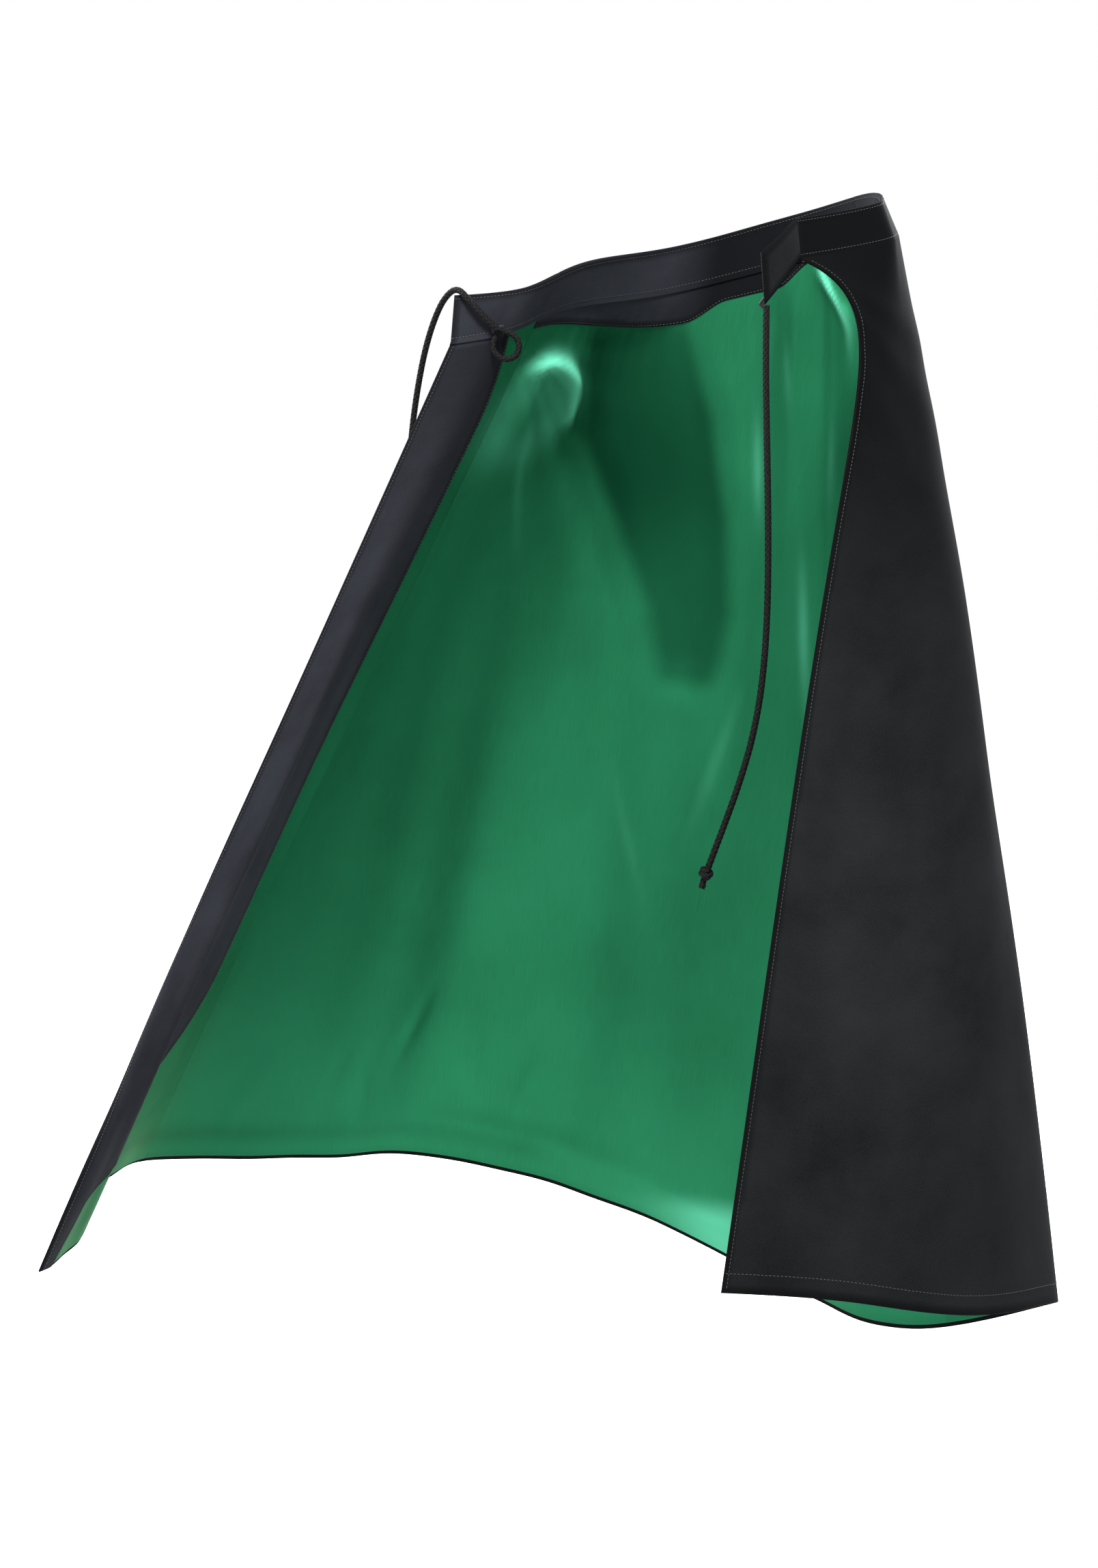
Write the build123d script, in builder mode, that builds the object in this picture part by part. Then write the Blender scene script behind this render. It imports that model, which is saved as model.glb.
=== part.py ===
"""Superhero cape: black shell gores, satin lining, stitched neck band and two tie cords.

Millimetres, +Z up, the wearer faces -Y. The origin is midway between the two shoulder
corners of the neck band's top edge. Left and right are as seen from the front: left is -X.
A point of the cloth has two parameters: u runs round the neck from the left front edge
(0) to the right front edge (1), and v runs down the cloth from the neck seam (0) to the
hem (1). The neck band continues the cloth upwards, at negative v.
"""

import os
from math import exp, pi, radians, sin, tan

from build123d import *

os.makedirs("parts", exist_ok=True)

# ---- Driving dimensions ---------------------------------------------------------------
BAND_HEIGHT = 60.0
SHELL_CLOTH = 1.0
LINING_CLOTH = 0.6
FACING_CLOTH = 0.8
INTERFACING = 0.8
LAYER_GAP = 1.6           # between one layer of cloth and the next
SEAM_GAP = 1.0            # bare width of a sewn butt seam, between two pieces of one body
FOLD_GAP = 5.0            # from a side seam that swings to the cloth on either side of it
FACING_WIDTH = 75.0
FACING_NECK_U = 0.177     # the left facing's inner edge over most of its length
FACING_HEM_U = 0.059      # and at the hem
FACING_NARROWS = 0.75     # the v where it starts to take in less of u
FACING_TOP_TRIM = 0.030   # the u that its neck corner is cut back by
FACING_TOP_END = 0.12     # and the v that this goes down to
SEARCH_STEP = 0.004
NECK_FACING_DEPTH = 12.0  # below the neck seam, at the left of the back
NECK_FACING_DIP = 37.0    # how much deeper it gets towards the middle of the back
NECK_FACING_DIP_U = (0.14, 0.28)
# Where it steps up again: the u that each step starts at, its width in u, and its height.
NECK_FACING_STEPS = [(0.42, 0.09, 19.0), (0.55, 0.09, 12.0)]
SWING_LEFT_U = 0.20       # the side seam that the left front panel swings on
SWING_RIGHT_U = 0.70      # the side seam that the right front panel swings on
FIT_TOLERANCE = 0.05

TIE_DIAMETER = 8.0
TIE_BEND = 0.45           # share of its shorter run that an arc of a tie's tube takes up
KNOT_DIAMETER = 17.0
KNOT_TAIL = 9.0           # how far the cut end of a tie sticks out of its knot
LOOP_RADIUS = 16.0        # to the middle of the loop's cord
TACK_LENGTH = 16.0
TACK_WIDTH = 8.0
TACK_HEIGHT = 2.4

# The neck seam and the hem are uniform cubic B-splines through these control points.
NECK_SEAM = [
    (-265, -45, -115), (-230, -45, -110), (-195, -30, -100), (-155, 55, -67),
    (-105, 130, -58), (-50, 190, -50), (20, 215, -35), (85, 210, -20),
    (155, 190, -5), (215, 155, 10), (280, 60, 20), (280, -10, 10),
    (275, -55, 0), (255, -95, -5),
]
HEM = [
    (-750, -265, -1265), (-680, -270, -1215), (-695, -235, -1140), (-650, -10, -1183),
    (-510, 160, -1215), (-365, 255, -1230), (-185, 245, -1260), (0, 145, -1295),
    (200, 5, -1345), (345, -110, -1330), (565, -215, -1215), (430, -405, -1210),
    (295, -475, -1165), (145, -470, -1170),
]

# Where the hung cloth leaves the straight line from neck to hem.
CORNER_CURL = Vector(80, -200, 66)      # the left front hem corner curls forward
CURL_WIDTH = 0.19
SIDE_BILLOW = Vector(22, -8, 0)         # the right side fills out below the shoulder
FRONT_PULL = Vector(-78, -20, -12)      # the right front top corner is drawn to the tie
BAND_LEAN_LEFT = Vector(-20, -3, 4)     # the band's top edge, at the left front end
BAND_LEAN_RIGHT = Vector(-13, 0, -9)    # the band's top edge, over the right shoulder

# The band's right end runs on past the front panel as a tab, which the tie hangs from.
TAB_TOP = Vector(139, -163, -11)
TAB_LOW = Vector(143, -160, -72)
TAB_GAP = 4.5

# The left tie is sewn to a small cord loop inside the band, goes over the band's top corner
# in an open bight, and comes down on the outer side of the left front panel.
LOOP_CENTRE = Vector(-196, -43, -118)
LOOP_FACES = Vector(0.25, -0.95, 0.15)
LOOP_ANCHOR = (0.115, -0.006)           # where the band holds the loop, as u and v
LEFT_TIE = [
    (-205, -50, -98), (-222, -56, -82), (-240, -54, -62), (-259, -40, -46),
    (-279, -27, -60), (-294, -20, -88), (-306, -16, -123), (-315, -14, -163),
    (-322, -15, -208), (-327, -20, -268), (-329, -31, -331), (-340, -40, -390),
    (-360, -46, -449), (-386, -51, -509), (-415, -59, -566), (-442, -66, -613),
]
# The right tie hangs free from the tab, and swings in towards its end.
RIGHT_TIE = [
    (143, -161, -73), (143, -163, -133), (145, -166, -203), (148, -170, -283),
    (150, -174, -363), (150, -178, -441), (146, -182, -512), (136, -186, -577),
    (119, -190, -638), (99, -193, -695), (82, -195, -742),
]


# ---- The surface of the cloth ---------------------------------------------------------
def spline_weight(distance):
    """Weight of a control point at this distance, in steps of the control points."""
    distance = abs(distance)
    if distance < 1:
        return (4 - 6 * distance**2 + 3 * distance**3) / 6
    if distance < 2:
        return (2 - distance) ** 3 / 6
    return 0.0


def along(line, u):
    """The point at u on a line of control points, which the spline's ends pass through."""
    first, last = Vector(*line[0]), Vector(*line[-1])
    before = first * 2 - Vector(*line[1])
    after = last * 2 - Vector(*line[-2])
    at = u * (len(line) - 1)
    total = Vector(0, 0, 0)
    for step, point in enumerate([before, *line, after], start=-1):
        weight = spline_weight(at - step)
        if weight:
            total += Vector(*point) * weight
    return total


def smooth(t):
    """A smooth step from 0 to 1."""
    t = min(1.0, max(0.0, t))
    return t * t * (3 - 2 * t)


def band_share(u):
    """The v of the band's full height, as a positive number."""
    return BAND_HEIGHT / (along(HEM, u) - along(NECK_SEAM, u)).length


def cape(u, v):
    """A point of the outer face of the cloth."""
    point = along(NECK_SEAM, u) * (1 - v) + along(HEM, u) * v
    down = max(0.0, v)
    above = max(0.0, -v) / band_share(u)
    left_curl = max(0.0, 1 - u / CURL_WIDTH) ** 2
    right_curl = smooth((u - 0.86) / 0.14)
    side = smooth((u - SWING_RIGHT_U) / 0.12) * exp(-(max(0.0, u - 0.80) / 0.1) ** 2)
    pull = exp(-down / 0.045) - 0.18 * (down / 0.1) * exp(1 - down / 0.1)
    point += SIDE_BILLOW * (sin(pi * down) * side)
    point += CORNER_CURL * (smooth((v - 0.62) / 0.38) ** 1.5 * left_curl)
    point += FRONT_PULL * (pull * right_curl)
    point += BAND_LEAN_LEFT * (above * left_curl)
    point += BAND_LEAN_RIGHT * (above * smooth((u - SWING_RIGHT_U) / 0.12))
    return point


def tab(s, t):
    """A point of the tab: s from the front panel to the tip, t from the band's top down."""
    root = cape(1.0, -band_share(1.0) * (1 - t))
    tip = TAB_TOP * (1 - t) + TAB_LOW * t
    return root * (1 - s) + tip * s


def outward(surface, a, b):
    """The unit normal of a surface, away from the wearer."""
    d = 0.001
    across = surface(a + d, b) - surface(a - d, b)
    down = surface(a, b + d) - surface(a, b - d)
    return across.cross(down).normalized()


# ---- Cutting lines, as u or v ---------------------------------------------------------
def step_u(u, v, distance):
    """The u that lies this far round the cape from u."""
    d = 0.0005
    rate = (cape(u + d, v) - cape(u - d, v)).length / (2 * d)
    return u + distance / rate


def step_v(u, v, distance):
    """The v that lies this far down the cloth from v."""
    return v + distance / (along(HEM, u) - along(NECK_SEAM, u)).length


def left_facing_edge(v):
    """The facing is cut to one width, which takes in less of u where the corner curls."""
    curled = max(0.0, v - FACING_NARROWS) / (1 - FACING_NARROWS)
    trimmed = max(0.0, 1 - v / FACING_TOP_END) ** 2
    narrower = (FACING_HEM_U - FACING_NECK_U) * curled**2
    return FACING_NECK_U + narrower - FACING_TOP_TRIM * trimmed


def right_facing_edge(v):
    """One facing width inside the right front edge."""
    u, left_over = 1.0, FACING_WIDTH
    stride = (cape(u - SEARCH_STEP, v) - cape(u, v)).length
    while stride < left_over:
        left_over -= stride
        u -= SEARCH_STEP
        stride = (cape(u - SEARCH_STEP, v) - cape(u, v)).length
    return u - SEARCH_STEP * left_over / stride


def neck_facing_edge(u):
    dip_start, dip_width = NECK_FACING_DIP_U
    depth = NECK_FACING_DEPTH + NECK_FACING_DIP * smooth((u - dip_start) / dip_width)
    for start, width, height in NECK_FACING_STEPS:
        depth -= height * smooth((u - start) / width)
    return step_v(u, 0.0, depth)


def cut(u_from, u_to, v_from, v_to):
    """A piece of cloth between two lines of u and two of v, each a function of the other."""

    def place(s, t):
        v_middle = v_from(0.5) * (1 - t) + v_to(0.5) * t
        u = u_from(v_middle) * (1 - s) + u_to(v_middle) * s
        v = v_from(u) * (1 - t) + v_to(u) * t
        return u, v

    return place


def face_at(surface, place, depth, columns, rows, crowding):
    """The face at a depth inside a surface, with its rows crowded towards the neck."""
    points = []
    for row in range(rows + 1):
        line = []
        for column in range(columns + 1):
            a, b = place(column / columns, (row / rows) ** crowding)
            line.append(surface(a, b) - outward(surface, a, b) * depth)
        points.append(line)
    return Face.make_surface_from_array_of_points(points, tol=FIT_TOLERANCE)


def cloth(surface, place, depth, thickness, columns, rows, crowding=1.0):
    """A solid sheet of cloth, whose outer side lies at a depth inside a surface."""
    outside = face_at(surface, place, depth, columns, rows, crowding)
    inside = face_at(surface, place, depth + thickness, columns, rows, crowding)
    edges = []
    for rim in outside.edges():
        facing = min(inside.edges(), key=lambda edge: (edge @ 0.5 - rim @ 0.5).length)
        edges.append(Face.make_surface_from_curves(rim, facing))
    return Solid(Shell([outside, inside, *edges]))


# ---- Lines shared by the cut pieces ---------------------------------------------------
def left_end(v):
    return 0.0


def right_end(v):
    return 1.0


def left_of_left_seam(v):
    return step_u(SWING_LEFT_U, v, -FOLD_GAP)


def right_of_left_seam(v):
    return step_u(SWING_LEFT_U, v, FOLD_GAP)


def left_of_right_seam(v):
    return step_u(SWING_RIGHT_U, v, -FOLD_GAP)


def right_of_right_seam(v):
    return step_u(SWING_RIGHT_U, v, FOLD_GAP)


def band_top(u):
    return -band_share(u)


def above_neck_seam(u):
    return step_v(u, 0.0, -SEAM_GAP / 2)


def below_neck_seam(u):
    return step_v(u, 0.0, SEAM_GAP / 2)


def hem(u):
    return 1.0


def lining_hem(u):
    return step_v(u, 1.0, -4.0)


def left_lining_edge(v):
    return step_u(left_facing_edge(v), v, SEAM_GAP)


def right_lining_edge(v):
    return step_u(right_facing_edge(v), v, -SEAM_GAP)


def below_neck_facing(u):
    return step_v(u, neck_facing_edge(u), SEAM_GAP)


# ---- Depths of the layers, from the cape's outer face ---------------------------------
LINING_DEPTH = SHELL_CLOTH + LAYER_GAP
INTERFACING_DEPTH = SHELL_CLOTH + LAYER_GAP
INNER_BAND_DEPTH = INTERFACING_DEPTH + INTERFACING + LAYER_GAP
BAND_STACK = INNER_BAND_DEPTH + SHELL_CLOTH

# ---- Shell, lining and facings --------------------------------------------------------
GORES = {
    "left_front": (left_end, left_of_left_seam, 16, 20, 1.0),
    "back": (right_of_left_seam, left_of_right_seam, 16, 2, 1.0),
    "right_front": (right_of_right_seam, right_end, 20, 14, 2.0),
}
LINING_GORES = {
    "left_front": (left_lining_edge, left_of_left_seam, below_neck_seam, 10, 20, 1.0),
    "back": (right_of_left_seam, left_of_right_seam, below_neck_facing, 16, 2, 1.0),
    "right_front": (right_of_right_seam, right_lining_edge, below_neck_seam, 16, 14, 2.0),
}
FACINGS = {
    "left_front_facing": (left_end, left_facing_edge, below_neck_seam, lining_hem, 6, 20, 1.0),
    "right_front_facing": (right_facing_edge, right_end, below_neck_seam, lining_hem,
                           8, 14, 2.0),
    "back_neck_facing": (right_of_left_seam, left_of_right_seam, below_neck_seam,
                         neck_facing_edge, 16, 2, 1.0),
}
BAND_LEAVES = {
    "band_outer": (0.0, SHELL_CLOTH),
    "band_interfacing": (INTERFACING_DEPTH, INTERFACING),
    "band_inner": (INNER_BAND_DEPTH, SHELL_CLOTH),
}
BAND_ROWS = 2


def keep(piece, name):
    """Label a finished piece and write it."""
    piece.part.label = name
    export_step(piece.part, f"parts/{name}.step")


for side, (u_from, u_to, columns, rows, crowding) in GORES.items():
    with BuildPart() as shell_gore:
        gore = cut(u_from, u_to, below_neck_seam, hem)
        add(cloth(cape, gore, 0.0, SHELL_CLOTH, columns, rows, crowding))
    keep(shell_gore, f"{side}_panel")

for side, (u_from, u_to, v_from, columns, rows, crowding) in LINING_GORES.items():
    with BuildPart() as lining_gore:
        gore = cut(u_from, u_to, v_from, lining_hem)
        add(cloth(cape, gore, LINING_DEPTH, LINING_CLOTH, columns, rows, crowding))
    keep(lining_gore, f"{side}_lining")

for name, (u_from, u_to, v_from, v_to, columns, rows, crowding) in FACINGS.items():
    with BuildPart() as facing:
        strip = cut(u_from, u_to, v_from, v_to)
        add(cloth(cape, strip, LINING_DEPTH, FACING_CLOTH, columns, rows, crowding))
    keep(facing, name)

# ---- Neck band: outer leaf, interfacing and inner leaf over each gore, and the tab ------
for side, (u_from, u_to, columns, *_) in GORES.items():
    for leaf_name, (depth, thickness) in BAND_LEAVES.items():
        with BuildPart() as leaf:
            strip = cut(u_from, u_to, band_top, above_neck_seam)
            add(cloth(cape, strip, depth, thickness, columns, BAND_ROWS))
        keep(leaf, f"{side}_{leaf_name}")

with BuildPart() as band_tab:
    tab_gap = TAB_GAP / (TAB_TOP - cape(1.0, band_top(1.0))).length
    add(cloth(tab, lambda s, t: (tab_gap + (1 - tab_gap) * s, t), 0.0, BAND_STACK, 3, 2))
keep(band_tab, "right_band_tab")


# ---- Tie cords --------------------------------------------------------------------------
def arc_radii(route):
    """The largest arc that each corner's two runs leave room for."""
    points = [Vector(*point) for point in route]
    radii = []
    for before, corner, after in zip(points, points[1:], points[2:]):
        arriving, leaving = corner - before, after - corner
        turn = radians(arriving.get_angle(leaving))
        shorter = min(arriving.length, leaving.length)
        radii.append(TIE_BEND * shorter / tan(turn / 2))
    return radii


def build_tie(name, route):
    """A tie's tube along its route."""
    with BuildPart() as tie:
        with BuildLine() as path:
            FilletPolyline(*route, radius=arc_radii(route))
        with BuildSketch(Plane(path.line @ 0, z_dir=path.line % 0)):
            Circle(TIE_DIAMETER / 2)
        sweep()
    keep(tie, name)


def build_knot(name, route):
    """The stopper knot at the end of a tie, with the cut end below it."""
    end, before = Vector(*route[-1]), Vector(*route[-2])
    with BuildPart(Plane(end, z_dir=end - before)) as knot:
        Sphere(KNOT_DIAMETER / 2)
        Cylinder(TIE_DIAMETER / 2, KNOT_DIAMETER / 2 + KNOT_TAIL,
                 align=(Align.CENTER, Align.CENTER, Align.MIN))
    keep(knot, name)


build_tie("left_tie", LEFT_TIE)
build_tie("right_tie", RIGHT_TIE)
build_knot("left_tie_knot", LEFT_TIE)
build_knot("right_tie_knot", RIGHT_TIE)

# ---- Tie loop, and the bar tacks that hold the cords to the band ------------------------
into_cape = outward(cape, *LOOP_ANCHOR) * -1
anchor = cape(*LOOP_ANCHOR) + into_cape * (BAND_STACK + SEAM_GAP)
shank = LOOP_CENTRE - anchor
with BuildPart(Plane(anchor, x_dir=Vector(1, 0, 0), z_dir=into_cape)) as left_tie_tack:
    Box(TACK_LENGTH, TACK_WIDTH, TACK_HEIGHT, align=(Align.CENTER, Align.CENTER, Align.MIN))
keep(left_tie_tack, "left_tie_tack")

with BuildPart(Plane(LOOP_CENTRE, z_dir=LOOP_FACES)) as left_tie_loop:
    Torus(LOOP_RADIUS, TIE_DIAMETER / 2)
    with BuildSketch(Plane(anchor + into_cape * (TACK_HEIGHT + SEAM_GAP), z_dir=shank)):
        Circle(TIE_DIAMETER / 2)
    extrude(amount=shank.length - LOOP_RADIUS)
keep(left_tie_loop, "left_tie_loop")

tip_face = outward(tab, 0.98, 0.5)
tack_place = tab(0.96, 0.97) - tip_face * (BAND_STACK + SEAM_GAP)
tip_across = tab(0.98, 0.98) - tab(0.9, 0.98)
with BuildPart(Plane(tack_place, x_dir=tip_across, z_dir=-tip_face)) as right_tie_tack:
    Box(TACK_LENGTH, TACK_WIDTH, TACK_HEIGHT, align=(Align.CENTER, Align.CENTER, Align.MIN))
keep(right_tie_tack, "right_tie_tack")
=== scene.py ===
"""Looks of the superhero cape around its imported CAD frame. Metres, +Z up, wearer faces -Y.

Left and right are as seen from the front. A point of the cloth has two parameters: u runs
round the neck from the left front edge (0) to the right front edge (1), and v runs down
from the neck seam (0) to the hem (1). The neck band is at negative v. A depth is a distance
from the cape's outer face towards the wearer.
"""

import math

import bpy
import numpy as np
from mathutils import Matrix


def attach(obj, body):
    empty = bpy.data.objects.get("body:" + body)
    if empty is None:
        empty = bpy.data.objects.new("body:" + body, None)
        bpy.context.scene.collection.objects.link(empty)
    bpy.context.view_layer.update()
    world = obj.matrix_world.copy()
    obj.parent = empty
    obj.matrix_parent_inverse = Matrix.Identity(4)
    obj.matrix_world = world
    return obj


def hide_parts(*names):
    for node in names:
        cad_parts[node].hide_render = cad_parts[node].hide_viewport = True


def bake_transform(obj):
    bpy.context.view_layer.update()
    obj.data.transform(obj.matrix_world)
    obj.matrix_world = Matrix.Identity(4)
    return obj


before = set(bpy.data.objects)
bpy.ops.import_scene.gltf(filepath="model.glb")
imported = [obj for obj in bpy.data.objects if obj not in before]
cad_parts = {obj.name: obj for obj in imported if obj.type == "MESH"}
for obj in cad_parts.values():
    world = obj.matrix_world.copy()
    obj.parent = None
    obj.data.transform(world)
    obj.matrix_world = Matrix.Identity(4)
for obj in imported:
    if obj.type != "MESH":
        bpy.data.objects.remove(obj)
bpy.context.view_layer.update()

MM = 0.001


# ---- Camera and light ----
VIEW_CENTRE = np.array([-0.1203, -0.1444, -0.6474])
CAMERA_DISTANCE = 3.6
CAMERA_ANGLES = (12, 8)     # azimuth and elevation, in degrees
CAMERA_LENS = 67.8
FLOOR_Z = -1.60
# Lights: (name, azimuth and elevation in degrees, distance and size in m, power in W)
LIGHTS = [
    ("key", 2, 60, 3.4, 0.9, 320),
    ("fill", -48, 22, 3.8, 1.8, 12),
    ("back_left", -118, 40, 3.6, 1.0, 190),
    ("back_right", 158, 30, 3.6, 1.6, 110),
]


def look_in(name, data, azimuth, elevation, distance):
    """Add a camera or a light that faces the middle of the view."""
    azimuth, elevation = math.radians(azimuth), math.radians(elevation)
    flat = math.cos(elevation)
    back = np.array([math.sin(azimuth) * flat, -math.cos(azimuth) * flat, math.sin(elevation)])
    item = bpy.data.objects.new(name, data)
    bpy.context.scene.collection.objects.link(item)
    item.location = VIEW_CENTRE + back * distance
    item.rotation_euler = (math.pi / 2 - elevation, 0, azimuth)
    return item


def make_camera():
    data = bpy.data.cameras.new("camera")
    data.lens = CAMERA_LENS
    bpy.context.scene.camera = look_in("camera", data, *CAMERA_ANGLES, CAMERA_DISTANCE)


def make_lights():
    for name, azimuth, elevation, distance, size, power in LIGHTS:
        data = bpy.data.lights.new(name, "AREA")
        data.shape = "DISK"
        data.size = size
        data.energy = power
        look_in(name, data, azimuth, elevation, distance)
    world = bpy.data.worlds.new("studio")
    bpy.context.scene.world = world
    world.use_nodes = True
    world.node_tree.nodes["Background"].inputs["Color"].default_value = (1, 1, 1, 1)


# ---- Node helpers ----
class Shader:
    """A node tree with short ways to add and join nodes."""

    def __init__(self, name, slot_colour):
        self.material = bpy.data.materials.new(name)
        self.material.use_nodes = True
        self.material.diffuse_color = (*slot_colour, 1)
        self.tree = self.material.node_tree
        self.surface = self.tree.nodes["Principled BSDF"]

    def add(self, kind, **settings):
        node = self.tree.nodes.new(kind)
        for key, value in settings.items():
            setattr(node, key, value)
        return node

    def feed(self, socket, value):
        """Give a socket a number or a colour, or link an output to it."""
        if isinstance(value, (int, float)):
            socket.default_value = value
        elif isinstance(value, tuple):
            socket.default_value = (*value, 1)
        else:
            self.tree.links.new(value, socket)

    def set(self, node, **values):
        """Feed sockets by their names, with _ for a space."""
        for key, value in values.items():
            self.feed(node.inputs[key.replace("_", " ")], value)

    def look(self, **values):
        self.set(self.surface, **values)

    def cloth_position(self, scale):
        """The weave's own coordinates: metres of cloth, times a scale."""
        uv = self.add("ShaderNodeUVMap", uv_map="cloth")
        mapping = self.add("ShaderNodeMapping")
        mapping.inputs["Scale"].default_value = scale
        self.set(mapping, Vector=uv.outputs["UV"])
        return mapping.outputs["Vector"]

    def noise(self, scale, detail=3.0, roughness=0.5, stretch=(1, 1, 1)):
        """Noise over the cloth, whose coordinates may be stretched."""
        node = self.add("ShaderNodeTexNoise")
        self.set(node, Vector=self.cloth_position(stretch), Scale=scale, Detail=detail,
                 Roughness=roughness)
        return node.outputs["Fac"]

    def wave(self, stretch, scale, distortion):
        node = self.add("ShaderNodeTexWave", bands_direction="DIAGONAL")
        self.set(node, Vector=self.cloth_position(stretch), Scale=scale, Distortion=distortion)
        return node.outputs["Fac"]

    def ramp(self, value, stops):
        node = self.add("ShaderNodeValToRGB")
        elements = node.color_ramp.elements
        elements[0].position, elements[1].position = stops[0][0], stops[-1][0]
        for position, _ in stops[1:-1]:
            elements.new(position)
        for element, (_, colour) in zip(elements, stops):
            element.color = (*colour, 1)
        self.set(node, Fac=value)
        return node.outputs["Color"]

    def math(self, operation, a, b):
        node = self.add("ShaderNodeMath", operation=operation)
        for socket, value in zip(node.inputs, (a, b)):
            self.feed(socket, value)
        return node.outputs["Value"]

    def blend(self, *parts):
        """A weighted sum of (value, weight)."""
        total = self.math("MULTIPLY", *parts[0])
        for part in parts[1:]:
            total = self.math("ADD", total, self.math("MULTIPLY", *part))
        return total

    def mix(self, factor, a, b):
        """Colour a, turning into colour b with the factor."""
        node = self.add("ShaderNodeMix", data_type="RGBA")
        for index, value in ((0, factor), (6, a), (7, b)):
            self.feed(node.inputs[index], value)
        return node.outputs[2]

    def attribute(self, name):
        return self.add("ShaderNodeAttribute", attribute_name=name).outputs["Fac"]

    def bump(self, height, strength, distance, **under):
        """Bump from a height, over another bump given as Normal."""
        node = self.add("ShaderNodeBump")
        self.set(node, Height=height, Strength=strength, Distance=distance, **under)
        return node.outputs["Normal"]


# ---- Materials ----
SATIN_DEEP = (0.0072, 0.072, 0.0315)
SATIN_MID = (0.0090, 0.093, 0.0415)
SATIN_LIGHT = (0.0112, 0.111, 0.0520)
# Painted shade on the satin
SATIN_PAINTED_SHADE = (0.0022, 0.028, 0.0120)
# Painted highlights on the satin
SATIN_PAINTED_HIGHLIGHT = (0.135, 0.58, 0.39)
SATIN_GLEAM = (0.10, 0.62, 0.34)
SHELL_DARK = (0.0027, 0.0029, 0.0033)
SHELL_MID = (0.0060, 0.0067, 0.0074)
SHELL_LIGHT = (0.0096, 0.0106, 0.0114)
FACING_DARK = (0.0070, 0.0074, 0.0096)
FACING_MID = (0.0135, 0.0144, 0.0184)
FACING_LIGHT = (0.0185, 0.0196, 0.0245)
CORD_DARK = (0.0009, 0.0009, 0.0010)
CORD_LIGHT = (0.0036, 0.0036, 0.0040)
THREAD_BLACK = (0.012, 0.0125, 0.014)
SHEEN_TINT = (0.62, 0.68, 0.80)
INTERFACING_DARK = (0.028, 0.028, 0.031)
INTERFACING_MID = (0.05, 0.05, 0.055)
INTERFACING_LIGHT = (0.085, 0.085, 0.092)
FLOOR_DARK = (0.86, 0.86, 0.86)
FLOOR_LIGHT = (0.89, 0.89, 0.89)


def darker(colour, share):
    return tuple(share * c for c in colour)


def satin_material():
    """Green polyester satin: fine floats down the cloth, a soft lustre, slight slubs, and painted
    shade and painted highlights mixed into its colour.
    """
    s = Shader("satin_lining", SATIN_MID)
    drift = s.noise(2.3, 4.0)
    slub = s.noise(1.0, 2.0, stretch=(900, 26, 1))
    tone = s.blend((drift, 0.72), (slub, 0.28))
    colour = s.ramp(tone, [(0.34, SATIN_DEEP), (0.5, SATIN_MID), (0.68, SATIN_LIGHT)])
    # Painted shade: darker towards the turned edges.
    colour = s.mix(s.blend((s.attribute("edge"), 0.45)), colour, SATIN_DEEP)
    # Painted highlights: mint over the bag below the loop, on the right edge, on the hem's flare
    # and in streaks.
    colour = s.mix(s.attribute("gleam"), colour, SATIN_PAINTED_HIGHLIGHT)
    # Painted shade: darker where the back falls in, beside the right edge, low on the left and
    # above the hem.
    colour = s.mix(s.attribute("hollow"), colour, SATIN_PAINTED_SHADE)
    weave = s.bump(s.noise(1.0, 1.0, stretch=(3200, 700, 1)), 0.12, 0.0003)
    crumple = s.noise(1.0, 4.0, 0.55, stretch=(14, 5, 1))
    tangent = s.add("ShaderNodeTangent", direction_type="UV_MAP", uv_map="cloth")
    s.look(Base_Color=colour, Roughness=s.math("ADD", s.blend((slub, 0.12)), 0.39),
           Metallic=0.4, Specular_IOR_Level=0.05, Specular_Tint=SATIN_GLEAM, Anisotropic=0.5,
           Tangent=tangent.outputs["Tangent"],
           Normal=s.bump(crumple, 0.10, 0.010, Normal=weave))
    return s.material


def twill_material(name, dark, mid, light, sheen):
    """Black costume cloth: a fine twill, faint mottling, and painted shade that makes its turned
    edges nearly black and darkens it near the neck and the fronts.
    """
    s = Shader(name, mid)
    mottle = s.noise(6.0, 6.0, 0.6)
    twill = s.wave((320, 320, 1), 0.5, 0.6)
    tone = s.blend((mottle, 0.70), (s.noise(420.0, 2.0), 0.20), (twill, 0.10))
    colour = s.ramp(tone, [(0.32, dark), (0.5, mid), (0.72, light)])
    # Painted shade: nearly black at the turned edges.
    colour = s.mix(s.blend((s.attribute("edge"), 0.85)), colour, darker(dark, 0.25))
    # Painted shade: darker towards the neck's right end, low on the right front, inside the left
    # edge and at the band's left corner.
    colour = s.mix(s.attribute("hollow"), colour, darker(dark, 0.2))
    soft = s.noise(1.0, 4.0, 0.6, stretch=(9, 4, 1))
    fine = s.bump(twill, 0.35, 0.0004)
    s.look(Base_Color=colour, Roughness=s.math("ADD", s.blend((mottle, 0.12)), 0.74),
           Specular_IOR_Level=0.03, Sheen_Weight=sheen, Sheen_Roughness=0.5,
           Sheen_Tint=SHEEN_TINT, Normal=s.bump(soft, 0.08, 0.012, Normal=fine))
    return s.material


def interfacing_material():
    """Charcoal non-woven stiffener of matted fibres."""
    s = Shader("interfacing", INTERFACING_MID)
    fibres = s.noise(260.0, 8.0, 0.7)
    colour = s.ramp(fibres, [(0.35, INTERFACING_DARK), (0.65, INTERFACING_LIGHT)])
    s.look(Base_Color=colour, Roughness=0.95, Normal=s.bump(fibres, 0.4, 0.0005))
    return s.material


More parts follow.
